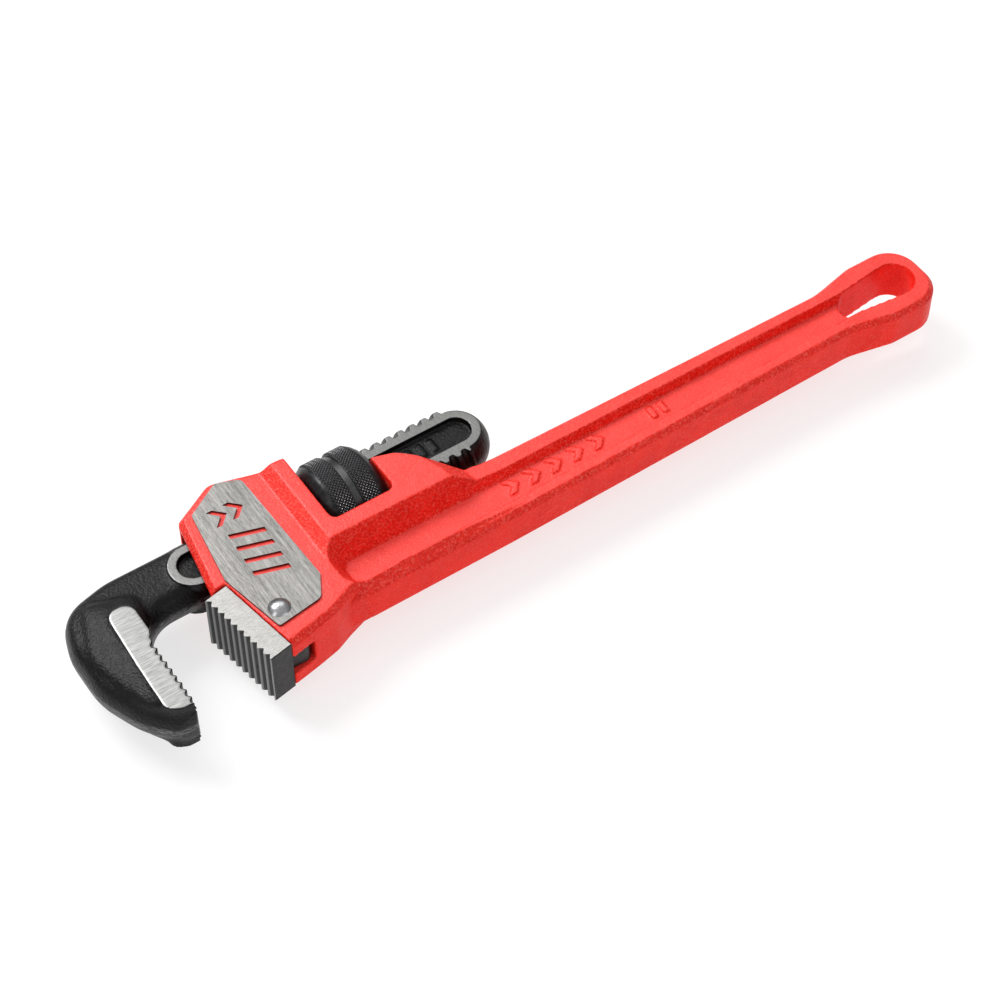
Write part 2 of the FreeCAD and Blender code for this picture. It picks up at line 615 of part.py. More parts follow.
def make_hook_jaw():
    body = make_hook_body()
    for side in (1, -1):
        body = body.fuse(make_pad(side))
    # rim round the near end of the pocket, standing out of the forged neck
    rim = Part.Face(pocket_outline(RIM_WIDTH, -SHANK_HALF)).extrude(Vec(0, 0, 2 * SHANK_HALF))
    body = body.fuse([make_shank(), rim])
    neck_low = SHANK_AXIS_Y - NECK_BELOW
    throat = [(HOOK_TOOTH_X, HOOK_TIP_Y - 9), (22.0, HOOK_TIP_Y - 9),
              (22.0, neck_low), (HOOK_TOOTH_X, neck_low)]
    cut_above = HOOK_HALF + 2
    mouth = prism(throat, [0, 0, 0, THROAT_R], -cut_above, cut_above)
    # only the hook side of the throat is trimmed, the shank's own teeth stay whole
    mouth = mouth.common(block((-60, HOOK_TIP_Y - 10, -cut_above),
                               (4.0, SHANK_AXIS_Y, cut_above)))
    body = body.cut(mouth)
    tooth_line = neck_low - THROAT_R - HOOK_TIP_Y + 2.0
    teeth = tooth_row((HOOK_TOOTH_X, HOOK_TIP_Y + tooth_line), (0, -1), (-1, 0),
                      tooth_line - 0.6, HOOK_HALF)
    body = body.cut(teeth)
    floor = SHANK_HALF - POCKET_DEPTH
    for sign in (1, -1):
        pocket = Part.Face(pocket_outline(0.0, sign * floor)).extrude(Vec(0, 0, sign * 9))
        body = body.cut(pocket)
    for i in range(3):
        bar = slanted_bar(MARK_X + 4.4 * i, SHANK_AXIS_Y - 2.6, 2.0, 5.2, 0.0)
        body = body.fuse(both_sides(prism(bar, 0.4, floor - 0.5, floor + MARK_HEIGHT)))
    return one_solid(body)


# ---- adjusting nut ---------------------------------------------------------------------------

def make_adjusting_nut():
    """Barrel with cone ends and a plain groove between two grip bands, threaded inside."""
    x0, x1 = NUT_FRONT, NUT_BACK
    band_1 = x0 + NUT_CONE
    groove_0 = band_1 + KNURL_WIDTH
    groove_1 = groove_0 + GROOVE_WIDTH
    band_2 = groove_1 + KNURL_WIDTH
    bore_r = THREAD_MINOR_R + THREAD_CLEARANCE
    nut = revolved([(x0, bore_r), (x1, bore_r), (x1, NUT_CONE_R), (band_2, NUT_R - 0.6),
                    (band_2, NUT_R), (groove_1, NUT_R), (groove_1, NUT_R - GROOVE_DEPTH),
                    (groove_0, NUT_R - GROOVE_DEPTH), (groove_0, NUT_R), (band_1, NUT_R),
                    (band_1, NUT_R - 0.6), (x0, NUT_CONE_R)])
    # thread valley: the shank's tooth plus the clearance on every side
    deep = THREAD_MAJOR_R + THREAD_CLEARANCE
    shallow = bore_r - 0.4
    rise = (THREAD_PITCH - THREAD_CREST - THREAD_ROOT) / 2 / (THREAD_MAJOR_R - THREAD_MINOR_R)
    tip = THREAD_CREST / 2 + THREAD_CLEARANCE
    base = tip + rise * (deep - shallow)
    # a tooth tip on the +Y edge lies half a pitch after each valley of the shank
    turns_before = math.floor((x0 - THREAD_START) / THREAD_PITCH)
    start = THREAD_START + (turns_before - 0.5) * THREAD_PITCH
    turns = math.ceil(NUT_LENGTH / THREAD_PITCH) + 2
    helix = Part.makeHelix(THREAD_PITCH, THREAD_PITCH, deep)
    section = Part.makePolygon([Vec(deep, 0, -tip), Vec(deep, 0, tip), Vec(shallow, 0, base),
                                Vec(shallow, 0, -base), Vec(deep, 0, -tip)])
    turn = Part.Wire(helix.Edges).makePipeShell([section], True, True)
    ridge = turn.fuse([turn.translated(Vec(0, 0, THREAD_PITCH * i)) for i in range(1, turns)])
    # stand the helix along +X with its start on the +Y side
    ridge.rotate(Vec(0, 0, 0), Vec(0, 0, 1), 90)
    ridge.rotate(Vec(0, 0, 0), Vec(0, 1, 0), 90)
    ridge.translate(Vec(start, SHANK_AXIS_Y, 0))
    return one_solid(nut.cut(ridge))


# ---- springs ---------------------------------------------------------------------------------

def make_flat_spring():
    """Strip that rests on the shank's teeth, with both ends turned away from it."""
    y = SHANK_AXIS_Y - THREAD_MAJOR_R - STRIP_GAP
    turned = y - STRIP_TURNED
    turn = 5.0
    outer = [Vec(STRIP_START, turned, 0), Vec(STRIP_START + turn, y, 0),
             Vec(STRIP_END - turn, y, 0), Vec(STRIP_END, turned, 0)]
    inner = [Vec(p.x, p.y - STRIP_THICKNESS, 0) for p in reversed(outer)]
    section = Part.Face(Part.makePolygon(outer + inner + outer[:1]))
    strip = section.extrude(Vec(0, 0, STRIP_HALF * 2))
    strip.translate(Vec(0, 0, -STRIP_HALF))
    return one_solid(strip)


def make_coil_spring():
    top = SHANK_AXIS_Y - THREAD_MAJOR_R - STRIP_GAP - STRIP_THICKNESS - COIL_END_GAP
    length = top - COIL_POCKET_FLOOR - COIL_WIRE - 2 * COIL_FLOOR_GAP
    helix = Part.makeHelix(length / COIL_TURNS, length, COIL_R)
    wire = Part.Wire([Part.Circle(Vec(COIL_R, 0, 0), Vec(0, 1, 0), COIL_WIRE / 2).toShape()])
    spring = Part.Wire(helix.Edges).makePipeShell([wire], True, True)
    spring.rotate(Vec(0, 0, 0), Vec(1, 0, 0), -90)
    spring.translate(Vec(COIL_X, COIL_POCKET_FLOOR + COIL_FLOOR_GAP + COIL_WIRE / 2, 0))
    return one_solid(spring)


# ---- put together ----------------------------------------------------------------------------

def make_pieces():
    badge_top, badge_bottom = make_badge_plates()
    return {
        "handle_housing": make_handle_housing(),
        "heel_jaw": make_heel_jaw(),
        "heel_jaw_pin": make_heel_jaw_pin(),
        "badge_plate_top": badge_top,
        "badge_plate_bottom": badge_bottom,
        "hook_jaw": make_hook_jaw(),
        "adjusting_nut": make_adjusting_nut(),
        "flat_spring": make_flat_spring(),
        "coil_spring": make_coil_spring(),
    }


pieces = make_pieces()
box = Part.makeCompound(list(pieces.values())).optimalBoundingBox(False)
ORIGIN_SHIFT = Vec(-(box.XMin + box.XMax) / 2, -(box.YMin + box.YMax) / 2, -box.ZMin)
for name, piece in pieces.items():
    piece.translate(ORIGIN_SHIFT)
    piece.exportStep("parts/" + name + ".step")
    print(name, "valid" if piece.isValid() else "NOT VALID", round(piece.Volume), "mm3",
          len(piece.Faces), "faces")
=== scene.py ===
import math

import bmesh
import bpy
import numpy as np
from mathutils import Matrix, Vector


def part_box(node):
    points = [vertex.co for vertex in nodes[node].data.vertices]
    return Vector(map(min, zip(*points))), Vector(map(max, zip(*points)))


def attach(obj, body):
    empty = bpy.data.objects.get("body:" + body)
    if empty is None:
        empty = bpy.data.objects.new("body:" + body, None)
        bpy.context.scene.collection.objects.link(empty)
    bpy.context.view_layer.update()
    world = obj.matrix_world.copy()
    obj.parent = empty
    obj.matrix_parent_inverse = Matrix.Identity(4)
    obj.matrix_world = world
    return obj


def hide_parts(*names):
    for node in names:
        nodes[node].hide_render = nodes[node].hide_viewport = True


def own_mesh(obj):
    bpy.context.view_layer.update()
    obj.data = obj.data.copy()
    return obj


# Adjustable pipe wrench. Metres, in the CAD's frame: +X to the tail, +Y to the nut, +Z up.
# The casting and the forging are the CAD's own shapes, remeshed and relaxed so that their
# edges are soft. The nut is made anew, with its knurl as real geometry. The coil spring is a
# copy with a mesh of its own. All other pieces are the CAD's, with new materials.

MM = 0.001

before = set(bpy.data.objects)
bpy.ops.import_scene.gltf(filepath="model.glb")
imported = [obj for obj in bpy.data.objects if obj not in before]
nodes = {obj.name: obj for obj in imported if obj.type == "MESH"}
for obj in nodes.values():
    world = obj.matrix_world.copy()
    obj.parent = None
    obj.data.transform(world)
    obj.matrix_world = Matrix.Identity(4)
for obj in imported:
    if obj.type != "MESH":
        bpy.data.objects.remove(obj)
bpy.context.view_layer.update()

# ---- places read from the frame ------------------------------------------------------------

nut_low, nut_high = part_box("adjusting_nut")
hook_low, hook_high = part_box("hook_jaw")
heel_low, heel_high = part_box("heel_jaw")
MID_Z = (nut_low[2] + nut_high[2]) / 2
AXIS_Y = (nut_low[1] + nut_high[1]) / 2
NUT_FRONT, NUT_BACK = nut_low[0], nut_high[0]
NUT_R = (nut_high[1] - nut_low[1]) / 2
HOOK_PAD = hook_high[2] - MID_Z
HEEL_TOP = heel_high[2] - MID_Z
SHANK_FLAT = 7.7 * MM                   # mid-plane to the shank's machined sides
CREST_Y = AXIS_Y + 15.5 * MM            # where the ridge beside the nut starts to round off
HEEL_TILT = math.radians(10.0)
HEEL_ROW = 30.9 * MM                    # length of the heel jaw's tooth row along Y

# hook, measured from its outermost point along X and from the shank's axis along Y
PAD_REGION_END = 38.0 * MM              # the machined sides lie behind this
FORGED_END = 47.0 * MM                  # the forged surface fades out before this
POCKET_CENTRE = 48.8 * MM               # middle of the rim round the pocket's near end
RIM_R = 8.7 * MM
TEETH_START = 20.5 * MM
TEETH_BELOW = -20.5 * MM

# screw, as on the shank
PITCH = 4.7 * MM
BORE_R = 11.6 * MM
VALLEY_R = 13.0 * MM
VALLEY_HALF = 1.92 * MM                 # half the valley's width at the bore
VALLEY_SIDE = 0.77 * MM                 # run of its sloping side
# a tooth tip of the shank's +Y edge, where the nut's thread has its valley
VALLEY_X = hook_low[0] + 61.85 * MM

# nut
CONE = 3.2 * MM
BAND = 6.5 * MM
GROOVE = 2.6 * MM
CONE_R = 13.6 * MM
STEP = 0.7 * MM                         # from a band down to the cone beside it
GROOVE_DEPTH = 1.1 * MM
BAND_EDGE = 0.4 * MM                    # width of the rounded edge of a band
DIAMONDS = 84
KNURL_DEPTH = 0.5 * MM
AROUND = DIAMONDS * 8                   # points round the nut


# ---- small mesh tools ----------------------------------------------------------------------

def add_mesh(name, vertices, faces):
    mesh = bpy.data.meshes.new(name)
    mesh.from_pydata(vertices, [], faces)
    mesh.validate()
    obj = bpy.data.objects.new(name, mesh)
    bpy.context.scene.collection.objects.link(obj)
    return obj


def smooth_by_angle(obj, degrees):
    """Smooth shading, with edges sharper than the angle kept hard."""
    mesh = obj.data
    for polygon in mesh.polygons:
        polygon.use_smooth = True
    shaped = bmesh.new()
    shaped.from_mesh(mesh)
    for edge in shaped.edges:
        joined = len(edge.link_faces) == 2
        edge.smooth = joined and edge.calc_face_angle() < math.radians(degrees)
    shaped.to_mesh(mesh)
    shaped.free()


def copy_of(node, name):
    """The CAD node's mesh in a new object, so that it can be reshaped."""
    obj = bpy.data.objects.new(name, nodes[node].data.copy())
    bpy.context.scene.collection.objects.link(obj)
    obj.data.materials.clear()
    welded = bmesh.new()
    welded.from_mesh(obj.data)
    bmesh.ops.remove_doubles(welded, verts=welded.verts, dist=0.002 * MM)
    welded.to_mesh(obj.data)
    welded.free()
    return obj


def applied(obj):
    """Turns the object's modifiers into its own mesh."""
    graph = bpy.context.evaluated_depsgraph_get()
    graph.update()
    mesh = bpy.data.meshes.new_from_object(obj.evaluated_get(graph))
    obj.modifiers.clear()
    obj.data = mesh
    return obj


def remeshed(obj, voxel):
    step = obj.modifiers.new("remesh", "REMESH")
    step.mode = "VOXEL"
    step.voxel_size = voxel
    step.use_smooth_shade = True
    return applied(obj)


def points_of(obj):
    values = np.empty(len(obj.data.vertices) * 3)
    obj.data.vertices.foreach_get("co", values)
    return values.reshape(-1, 3)


def set_points(obj, points):
    obj.data.vertices.foreach_set("co", points.reshape(-1))
    obj.data.update()


def smoothed(obj, weights, rounds):
    """Relaxes the surface, each point as far as its weight from 0 to 1 lets it."""
    group = obj.vertex_groups.new(name="relax")
    levels = np.round(weights * 10).astype(int)
    for level in range(1, 11):
        chosen = np.nonzero(levels == level)[0]
        if len(chosen):
            group.add(chosen.tolist(), level / 10, "REPLACE")
    step = obj.modifiers.new("relax", "SMOOTH")
    step.factor = 0.5
    step.iterations = rounds
    step.vertex_group = "relax"
    applied(obj)
    obj.vertex_groups.clear()
    return obj


# ---- material tools ------------------------------------------------------------------------

class Paint:
    """A material's node tree, with short calls for the nodes used here."""

    def __init__(self, name):
        self.material = bpy.data.materials.new(name)
        self.material.use_nodes = True
        self.tree = self.material.node_tree
        self.tree.nodes.clear()
        self.out = self.add("ShaderNodeOutputMaterial")
        self.shader = self.add("ShaderNodeBsdfPrincipled")
        self.link(self.shader.outputs["BSDF"], self.out.inputs["Surface"])
        place = self.add("ShaderNodeTexCoord")
        self.place = place.outputs["Object"]
        self.normal = place.outputs["Normal"]

    def add(self, kind, **values):
        node = self.tree.nodes.new(kind)
        for key, value in values.items():
            setattr(node, key, value)
        return node

    def link(self, a, b):
        self.tree.links.new(a, b)

    def feed(self, socket, value):
        if hasattr(value, "is_output"):
            self.link(value, socket)
        else:
            socket.default_value = value

    def math(self, kind, a, b=0.0, clamp=False):
        node = self.add("ShaderNodeMath", operation=kind, use_clamp=clamp)
        self.feed(node.inputs[0], a)
        self.feed(node.inputs[1], b)
        return node.outputs[0]

    def axis(self, which, of=None):
        node = self.add("ShaderNodeSeparateXYZ")
        self.link(of or self.place, node.inputs[0])
        return node.outputs[which]

    def scaled(self, scale, turn=0.0):
        """Object coordinates stretched and turned about Z, for streaks that run one way."""
        node = self.add("ShaderNodeMapping")
        self.link(self.place, node.inputs["Vector"])
        node.inputs["Scale"].default_value = scale
        node.inputs["Rotation"].default_value = (0, 0, math.radians(turn))
        return node.outputs[0]

    def noise(self, size, detail=3.0, rough=0.5, at=None):
        """Noise whose blobs are about that many millimetres across, or metres where at is given."""
        node = self.add("ShaderNodeTexNoise")
        self.link(at or self.place, node.inputs["Vector"])
        node.inputs["Scale"].default_value = 1.0 / (size * MM) if at is None else 1.0 / size
        node.inputs["Detail"].default_value = detail
        node.inputs["Roughness"].default_value = rough
        return node.outputs["Fac"]

    def cells(self, size):
        node = self.add("ShaderNodeTexVoronoi", feature="SMOOTH_F1")
        self.link(self.place, node.inputs["Vector"])
        node.inputs["Scale"].default_value = 1.0 / (size * MM)
        return node.outputs["Distance"]

    def ramp(self, value, low, high, a=0.0, b=1.0):
        node = self.add("ShaderNodeMapRange", clamp=True)
        self.feed(node.inputs["Value"], value)
        node.inputs["From Min"].default_value = low
        node.inputs["From Max"].default_value = high
        node.inputs["To Min"].default_value = a
        node.inputs["To Max"].default_value = b
        return node.outputs["Result"]

    def mix(self, share, a, b):
        node = self.add("ShaderNodeMix", data_type="RGBA")
        self.feed(node.inputs["Factor"], share)
        for socket, value in ((node.inputs[6], a), (node.inputs[7], b)):
            self.feed(socket, value if hasattr(value, "is_output") else (*value, 1.0))
        return node.outputs[2]

    def blend(self, share, a, b):
        """A number going from a to b with share."""
        node = self.add("ShaderNodeMix", data_type="FLOAT")
        self.feed(node.inputs["Factor"], share)
        self.feed(node.inputs[2], a)
        self.feed(node.inputs[3], b)
        return node.outputs[0]

    def bump(self, height, depth_mm, strength=1.0, after=None):
        node = self.add("ShaderNodeBump")
        self.link(height, node.inputs["Height"])
        node.inputs["Distance"].default_value = depth_mm * MM
        self.feed(node.inputs["Strength"], strength)
        if after is not None:
            self.link(after, node.inputs["Normal"])
        return node.outputs[0]

    def above(self, value, edge, soft):
        """0 below the edge, 1 above it."""
        return self.ramp(value, edge - soft, edge + soft)

    def height(self):
        """Distance from the wrench's mid-plane."""
        return self.math("ABSOLUTE", self.math("SUBTRACT", self.axis(2), MID_Z))

    def facing_up(self, edge=0.93):
        """1 where the surface lies flat, parallel to the mid-plane, on either side."""
        return self.above(self.math("ABSOLUTE", self.axis(2, self.normal)), edge, 0.03)

    def finish(self, **values):
        names = {"color": "Base Color", "metal": "Metallic", "rough": "Roughness",
                 "normal": "Normal", "coat": "Coat Weight", "coat_rough": "Coat Roughness",
                 "specular": "Specular IOR Level"}
        for key, value in values.items():
            socket = self.shader.inputs[names[key]]
            if key == "color" and not hasattr(value, "is_output"):
                value = (*value, 1.0)
            self.feed(socket, value)
        return self.material


def red_paint():
    p = Paint("red_paint")
    steep = p.math("ABSOLUTE", p.axis(2, p.normal))
    top = p.above(steep, 0.93, 0.04)
    # bevels and drafted walls show the rough casting most, upright sides least; the painted
    # highlight and painted shade on the grain are strongest there too
    sloped = p.math("MULTIPLY", p.above(steep, 0.20, 0.08), p.math("SUBTRACT", 1.0, top))
    tone = p.ramp(p.noise(9.0, 2.0), 0.35, 0.65)
    side = p.mix(tone, (0.80, 0.014, 0.006), (0.90, 0.019, 0.009))
    # faces that lie flatter are painted a pinker red than the upright sides, a painted sheen of the
    # light from above
    upper_painted_sheen = p.mix(tone, (0.80, 0.028, 0.018), (0.89, 0.038, 0.027))
    colour = p.mix(p.above(steep, 0.55, 0.3), side, upper_painted_sheen)
    grit = p.noise(0.75, 2.0, 0.5)
    # lighter pink on the grain's raised points, a painted highlight
    grain_painted_highlight = p.math("MULTIPLY", p.ramp(grit, 0.50, 0.68), p.blend(sloped, 0.13, 0.30))
    colour = p.mix(grain_painted_highlight, colour, (1.0, 0.26, 0.21))
    # darker red in the grain's hollows, painted shade
    grain_painted_shade = p.math("MULTIPLY", p.ramp(grit, 0.46, 0.32), p.blend(sloped, 0.10, 0.32))
    colour = p.mix(grain_painted_shade, colour, (0.45, 0.008, 0.004))
    normal = p.bump(p.noise(3.2, 2.0), 0.25, 0.7)
    normal = p.bump(grit, 0.80, p.blend(sloped, 0.30, 0.9), after=normal)
    return p.finish(color=colour, rough=p.ramp(p.noise(3.0), 0.3, 0.7, 0.30, 0.44),
                    normal=normal, specular=p.blend(top, 0.10, 0.45))


def black_forging():
    p = Paint("black_forging")
    high = p.height()
    flat = p.facing_up()
    x = p.axis(0)
    pad = p.math("MULTIPLY", p.above(high, HOOK_PAD - 0.12 * MM, 0.05 * MM), p.facing_up(0.9))
    # the two machined sides of the shank, but not the forged swelling of the hook
    beside = p.above(x, hook_low[0] + PAD_REGION_END, 0.2 * MM)
    off_level = p.math("ABSOLUTE", p.math("SUBTRACT", high, SHANK_FLAT))
    level = p.math("SUBTRACT", 1.0, p.above(off_level, 0.14 * MM, 0.04 * MM))
    rim = p.math("MULTIPLY", p.math("MULTIPLY", level, flat), beside)
    ground = p.math("MAXIMUM", pad, rim)
    leather = p.math("ADD", p.noise(0.8, 3.0, 0.6), p.math("MULTIPLY", p.cells(0.9), 0.6))
    soft = p.noise(6.0, 2.0)
    across = p.scaled((0.6, 9.0, 1.0), 52)
    scratch = p.noise(0.0030, 4.0, 0.75, at=across)
    lines = p.scaled((14.0, 1.0, 1.0))
    brushed = p.noise(0.0016, 3.0, 0.7, at=lines)
    streak = p.blend(rim, scratch, brushed)
    metal_tone = p.mix(p.ramp(streak, 0.3, 0.7), (0.13, 0.13, 0.127), (0.34, 0.34, 0.333))
    rim_tone = p.mix(p.ramp(streak, 0.3, 0.7), (0.10, 0.10, 0.098), (0.24, 0.24, 0.235))
    bright = p.mix(rim, metal_tone, rim_tone)
    dark = p.mix(p.ramp(soft, 0.35, 0.65), (0.002, 0.002, 0.0022), (0.005, 0.005, 0.0055))
    # trimmed flash along the parting line
    seam = p.math("SUBTRACT", 1.0, p.above(high, 1.3 * MM, 0.5 * MM))
    patches = p.noise(0.0022, 3.0, 0.7, at=p.scaled((1.0, 1.0, 5.0)))
    worn = p.math("MULTIPLY", seam, p.ramp(patches, 0.40, 0.60))
    dark = p.mix(p.math("MULTIPLY", worn, 0.8), dark, (0.16, 0.16, 0.165))
    normal = p.bump(leather, 0.22, p.blend(ground, 1.0, 0.0))
    normal = p.bump(streak, 0.015, p.blend(ground, 0.0, 0.7), after=normal)
    return p.finish(color=p.mix(ground, dark, bright), metal=p.blend(ground, 0.0, 1.0),
                    rough=p.blend(ground, p.ramp(p.noise(2.0), 0.3, 0.7, 0.30, 0.40), 0.36),
                    normal=normal, specular=0.20)


def heel_steel():
    p = Paint("heel_steel")
    top = p.math("MULTIPLY", p.above(p.height(), HEEL_TOP - 0.15 * MM, 0.05 * MM),
                 p.facing_up(0.9))
    lines = p.scaled((1.0, 12.0, 1.0), 12)
    streak = p.noise(0.0014, 3.0, 0.7, at=lines)
    bright = p.mix(p.ramp(streak, 0.3, 0.7), (0.19, 0.187, 0.18), (0.45, 0.442, 0.425))
    dark = p.mix(p.ramp(p.noise(2.0), 0.35, 0.65), (0.005, 0.005, 0.0055), (0.012, 0.012, 0.013))
    # tooth tips are worn bright, and their roots are painted darker than the black finish, painted
    # shade in the crevices
    along_x = p.math("MULTIPLY", p.math("SUBTRACT", p.axis(0), heel_low[0]), math.cos(HEEL_TILT))
    along_y = p.math("MULTIPLY", p.math("SUBTRACT", p.axis(1), heel_low[1] + HEEL_ROW),
                     math.sin(HEEL_TILT))
    depth = p.math("ADD", along_x, along_y)
    dark = p.mix(p.ramp(depth, 0.25 * MM, 0.55 * MM, 1.0, 0.0), dark, (0.26, 0.26, 0.262))
    root_painted_shade = p.math("MULTIPLY", p.ramp(depth, 0.9 * MM, 1.4 * MM),
                  p.ramp(depth, 2.2 * MM, 1.6 * MM))
    dark = p.mix(root_painted_shade, dark, (0.001, 0.001, 0.001))
    normal = p.bump(p.noise(0.8, 3.0), 0.08, p.blend(top, 0.8, 0.0))
    normal = p.bump(streak, 0.012, p.blend(top, 0.0, 0.7), after=normal)
    return p.finish(color=p.mix(top, dark, bright), metal=p.blend(top, 0.0, 1.0),
                    rough=p.blend(top, p.ramp(p.noise(1.5), 0.3, 0.7, 0.34, 0.50), 0.36),
                    normal=normal, specular=0.35)


def black_nut():
    p = Paint("black_nut")
    y = p.math("SUBTRACT", p.axis(1), AXIS_Y)
    z = p.math("SUBTRACT", p.axis(2), MID_Z)
    radius = p.math("SQRT", p.math("ADD", p.math("MULTIPLY", y, y), p.math("MULTIPLY", z, z)))
    x = p.math("ABSOLUTE", p.math("SUBTRACT", p.axis(0), (NUT_FRONT + NUT_BACK) / 2))
    groove = p.math("MULTIPLY", p.math("SUBTRACT", 1.0, p.above(x, 1.25 * MM, 0.08 * MM)),
                    p.above(radius, NUT_R - 2.0 * MM, 0.1 * MM))
    worn = p.math("MULTIPLY", p.above(radius, NUT_R - 0.20 * MM, 0.14 * MM), 0.85)
    turned = p.noise(0.0016, 2.0, 0.6, at=p.scaled((12.0, 1.0, 1.0)))
    dark = p.mix(p.ramp(p.noise(1.4), 0.35, 0.65), (0.010, 0.010, 0.011), (0.024, 0.024, 0.026))
    dark = p.mix(worn, dark, (0.17, 0.17, 0.175))
    grey = p.mix(p.ramp(turned, 0.3, 0.7), (0.055, 0.055, 0.056), (0.12, 0.12, 0.122))
    return p.finish(color=p.mix(groove, dark, grey), metal=p.blend(groove, 0.6, 1.0),
                    rough=p.blend(groove, p.ramp(p.noise(1.0), 0.3, 0.7, 0.30, 0.44), 0.33),
                    normal=p.bump(p.noise(0.5, 2.0), 0.03, 0.5))


def brushed_plate():
    p = Paint("brushed_plate")
    lines = p.scaled((16.0, 0.8, 1.0), -3)
    fine = p.noise(0.0018, 4.0, 0.75, at=lines)
    broad = p.noise(0.012, 2.0, 0.5, at=lines)
    tone = p.math("ADD", p.math("MULTIPLY", fine, 0.7), p.math("MULTIPLY", broad, 0.3))
    flat = p.facing_up(0.9)
    face = p.mix(p.ramp(tone, 0.34, 0.62), (0.07, 0.068, 0.064), (0.32, 0.314, 0.30))
    # the plate's edges, which do not lie flat, are painted a plain dark grey, painted shade along
    # its rim
    return p.finish(color=p.mix(flat, (0.10, 0.10, 0.10), face), metal=1.0,
                    rough=p.ramp(fine, 0.3, 0.7, 0.30, 0.44),
                    normal=p.bump(fine, 0.02, p.blend(flat, 0.0, 0.8)))


def polished_pin():
    p = Paint("polished_pin")
    tone = p.mix(p.ramp(p.noise(2.0), 0.4, 0.6), (0.42, 0.42, 0.43), (0.50, 0.50, 0.51))
    return p.finish(color=tone, metal=1.0, rough=p.ramp(p.noise(1.2), 0.3, 0.7, 0.24, 0.30),
                    normal=p.bump(p.noise(1.0), 0.02, 0.3))


def spring_steel():
    p = Paint("spring_steel")
    tone = p.mix(p.ramp(p.noise(2.0), 0.4, 0.6), (0.24, 0.24, 0.25), (0.36, 0.36, 0.37))
    return p.finish(color=tone, metal=1.0, rough=p.ramp(p.noise(0.8), 0.3, 0.7, 0.26, 0.42),
                    normal=p.bump(p.noise(0.6), 0.02, 0.4))


def repaint(obj, material):
    obj.data.materials.clear()
    obj.data.materials.append(material)


def cad_finish(node, material):
    """A new material for a CAD node that keeps its own shape."""
    for place in nodes[node].material_slots:
        place.material = material


# ---- castings ------------------------------------------------------------------------------

def make_housing():
    obj = remeshed(copy_of("handle_housing", "housing_casting"), 0.42 * MM)
    smoothed(obj, np.ones(len(obj.data.vertices)), 1)
    # the ridge's crest beside the nut is rounded off more than the rest
    crest = np.clip((points_of(obj)[:, 1] - CREST_Y) / (2.0 * MM), 0, 1)
    smoothed(obj, crest, 14)
    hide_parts("handle_housing")
    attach(obj, "frame")
    repaint(obj, red_paint())


def make_hook():
    """Only the forged surfaces are relaxed: the pad, teeth and machined sides stay crisp."""
    obj = remeshed(copy_of("hook_jaw", "hook_forging"), 0.36 * MM)
    at = points_of(obj)
    high = np.abs(at[:, 2] - MID_Z)
    x = at[:, 0] - hook_low[0]
    y = at[:, 1] - AXIS_Y
    forged = np.clip((FORGED_END - x) / (3.0 * MM), 0, 1)
    ring = np.hypot(x - POCKET_CENTRE, y)
    forged *= np.clip((ring - RIM_R) / (0.8 * MM), 0, 1)
    teeth = (x > TEETH_START) & (y < TEETH_BELOW)
    forged[teeth] = 0.0
    forged *= np.clip((HOOK_PAD - 0.25 * MM - high) / (0.6 * MM), 0, 1)
    smoothed(obj, forged, 140)
    smoothed(obj, np.full(len(at), 0.6), 1)
    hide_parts("hook_jaw")
    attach(obj, "hook")
    repaint(obj, black_forging())


# ---- knurled nut ---------------------------------------------------------------------------

def knurl_depth(x, angle, start, end):
    """0 on a diamond's tip and 1 in the crossing grooves."""
    lead = 2 * math.pi / DIAMONDS
    width = NUT_R * lead
    u = angle / lead + (x - start) / width
    v = angle / lead - (x - start) / width
    ridge_u = np.abs((u % 1.0) - 0.5) * 2
    ridge_v = np.abs((v % 1.0) - 0.5) * 2
    depth = np.maximum(ridge_u, ridge_v)
    fade = np.clip(np.minimum(x - start, end - x) / (0.35 * MM), 0, 1)
    return depth ** 1.3 * fade


def cone_rings(face_x, inwards, shares):
    """Rings of the rounded cone between an end face and the band beside it."""
    rise = NUT_R - STEP - CONE_R
    return [(face_x + inwards * CONE * t, CONE_R + rise * math.sin(t * math.pi / 2), 0, 0)
            for t in shares]


def band_rings(start, end):
    """Rings of one knurled band, with its edges rounded off."""
    steps = 34
    rings = []
    for i in range(steps + 1):
        x = start + (end - start) * i / steps
        edge = min(x - start, end - x)
        drop = 0.5 * MM * max(0.0, 1 - edge / BAND_EDGE)
        rings.append((x, NUT_R - drop, start, end))
    return rings


def nut_profile():
    """Outer rings from front to back: x, radius, and the start and end of their knurled band."""
    x0, x1 = NUT_FRONT, NUT_BACK
    band_1 = x0 + CONE
    groove_0 = band_1 + BAND
    groove_1 = groove_0 + GROOVE
    band_2 = groove_1 + BAND
    shares = (0.35, 0.6, 0.85)
    chamfer, chamfer_rise = 0.5 * MM, 0.9 * MM
    rings = [(x0, CONE_R, 0, 0), (x0 + chamfer, CONE_R + chamfer_rise, 0, 0)]
    rings += cone_rings(x0, 1, shares)
    rings.append((band_1, NUT_R - STEP, 0, 0))
    rings += band_rings(band_1, groove_0)
    rings.append((groove_0, NUT_R - GROOVE_DEPTH, 0, 0))
    rings.append((groove_1, NUT_R - GROOVE_DEPTH, 0, 0))
    rings.append((groove_1, NUT_R - STEP, 0, 0))
    rings += band_rings(groove_1, band_2)
    rings.append((band_2, NUT_R - STEP, 0, 0))
    rings += cone_rings(x1, -1, shares[::-1])
    rings += [(x1 - chamfer, CONE_R + chamfer_rise, 0, 0), (x1, CONE_R, 0, 0)]
    return rings


def ring_points(x, radii, angle):
    return np.stack([np.full(AROUND, x), AXIS_Y + radii * np.cos(angle),
                     MID_Z + radii * np.sin(angle)], 1)


